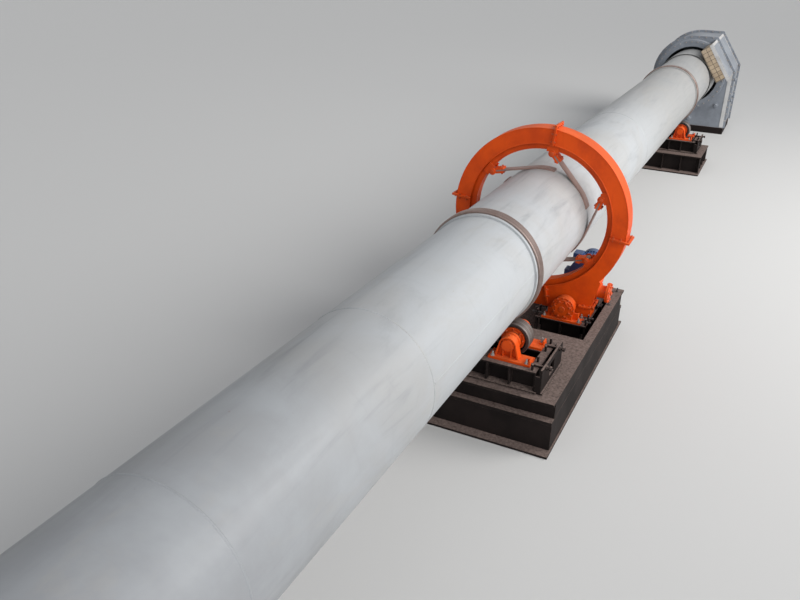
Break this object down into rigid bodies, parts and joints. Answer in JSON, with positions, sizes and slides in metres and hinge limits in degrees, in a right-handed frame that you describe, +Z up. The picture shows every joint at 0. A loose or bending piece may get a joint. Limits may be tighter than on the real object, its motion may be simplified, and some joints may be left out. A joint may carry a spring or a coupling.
{
  "type": "rotary kiln",
  "caption": "Sloping rotary kiln on tyres and support rollers, with a girth gear and pinion drive under a sheet-metal cover and a hood at each end.",
  "frame": {"origin": "on the floor, straight below the kiln axis at the middle of the feed tyre", "axes": "+X along the kiln towards the discharge end, +Y to the left, +Z up; the kiln axis falls 2 % towards +X"},
  "size_m": [18.134, 1.7564, 2.28],
  "materials": {
    "shell_paint": "satin, dusty",
    "orange_paint": "satin, worn",
    "bare_steel": "turned, lightly rusted",
    "plate_steel": "mill finish, rust tinted",
    "frame_paint": "matt, dusty",
    "hood_paint": "matt, dusty",
    "drive_paint": "satin",
    "lining": "rough castable"
  },
  "bodies": {
    "foundation": {"main_base": "frame_paint", "discharge_base": "frame_paint", "roller_frame_feed": "frame_paint", "roller_frame_discharge": "frame_paint", "adjusters_feed": "frame_paint", "adjusters_discharge": "frame_paint", "bearings_feed_left": "orange_paint", "bearings_feed_right": "orange_paint", "bearings_discharge_left": "orange_paint", "bearings_discharge_right": "orange_paint", "drive_frame": "frame_paint", "pinion_bearings": "orange_paint", "reducer": "drive_paint", "motor": "drive_paint", "cover_top_left": "orange_paint", "cover_top_right": "orange_paint", "cover_pinion_box": "orange_paint", "cover_bottom_left": "orange_paint", "cover_port": "orange_paint", "hood_front": "hood_paint", "hood_body": "hood_paint", "hood_back": "hood_paint", "hood_plinth": "frame_paint", "hood_collar": "hood_paint", "hood_lining": "lining", "hood_canopy": "hood_paint", "chamber_front": "hood_paint", "chamber_body": "hood_paint", "chamber_back": "hood_paint", "feed_chute": "hood_paint"},
    "kiln": {"shell_feed": "shell_paint", "shell_middle": "shell_paint", "shell_discharge": "shell_paint", "tyre_feed": "bare_steel", "tyre_discharge": "bare_steel", "stop_rings_feed": "shell_paint", "stop_rings_discharge": "shell_paint", "girth_gear": "orange_paint", "spring_plates": "plate_steel", "end_sleeve": "shell_paint"},
    "pinion_shaft": {"pinion": "bare_steel", "coupling": "orange_paint"},
    "roller_a": {"roller_feed_left": "bare_steel"},
    "roller_b": {"roller_feed_right": "bare_steel"},
    "roller_c": {"roller_discharge_left": "bare_steel"},
    "roller_d": {"roller_discharge_right": "bare_steel"}
  },
  "joints": [
    {"name": "kiln_turn", "type": "hinge", "parent": "foundation", "child": "kiln", "pos_m": [0, 0, 1.3], "axis": [0.9998, 0, -0.02], "continuous": true},
    {"name": "pinion_turn", "type": "hinge", "parent": "foundation", "child": "pinion_shaft", "pos_m": [1.46861, -0.37528, 0.46567], "axis": [0.9998, 0, -0.02], "continuous": true},
    {"name": "roller_a_turn", "type": "hinge", "parent": "foundation", "child": "roller_a", "pos_m": [-0.01079, 0.31165, 0.76031], "axis": [0.9998, 0, -0.02], "continuous": true},
    {"name": "roller_b_turn", "type": "hinge", "parent": "foundation", "child": "roller_b", "pos_m": [-0.01079, -0.31165, 0.76031], "axis": [0.9998, 0, -0.02], "continuous": true},
    {"name": "roller_c_turn", "type": "hinge", "parent": "foundation", "child": "roller_c", "pos_m": [8.38753, 0.31165, 0.59235], "axis": [0.9998, 0, -0.02], "continuous": true},
    {"name": "roller_d_turn", "type": "hinge", "parent": "foundation", "child": "roller_d", "pos_m": [8.38753, -0.31165, 0.59235], "axis": [0.9998, 0, -0.02], "continuous": true}
  ],
  "couplings": [
    {"joint": "pinion_turn", "follows": "kiln_turn", "ratio": -5.7273},
    {"joint": "roller_a_turn", "follows": "kiln_turn", "ratio": -3.45},
    {"joint": "roller_b_turn", "follows": "kiln_turn", "ratio": -3.45},
    {"joint": "roller_c_turn", "follows": "kiln_turn", "ratio": -3.45},
    {"joint": "roller_d_turn", "follows": "kiln_turn", "ratio": -3.45}
  ]
}
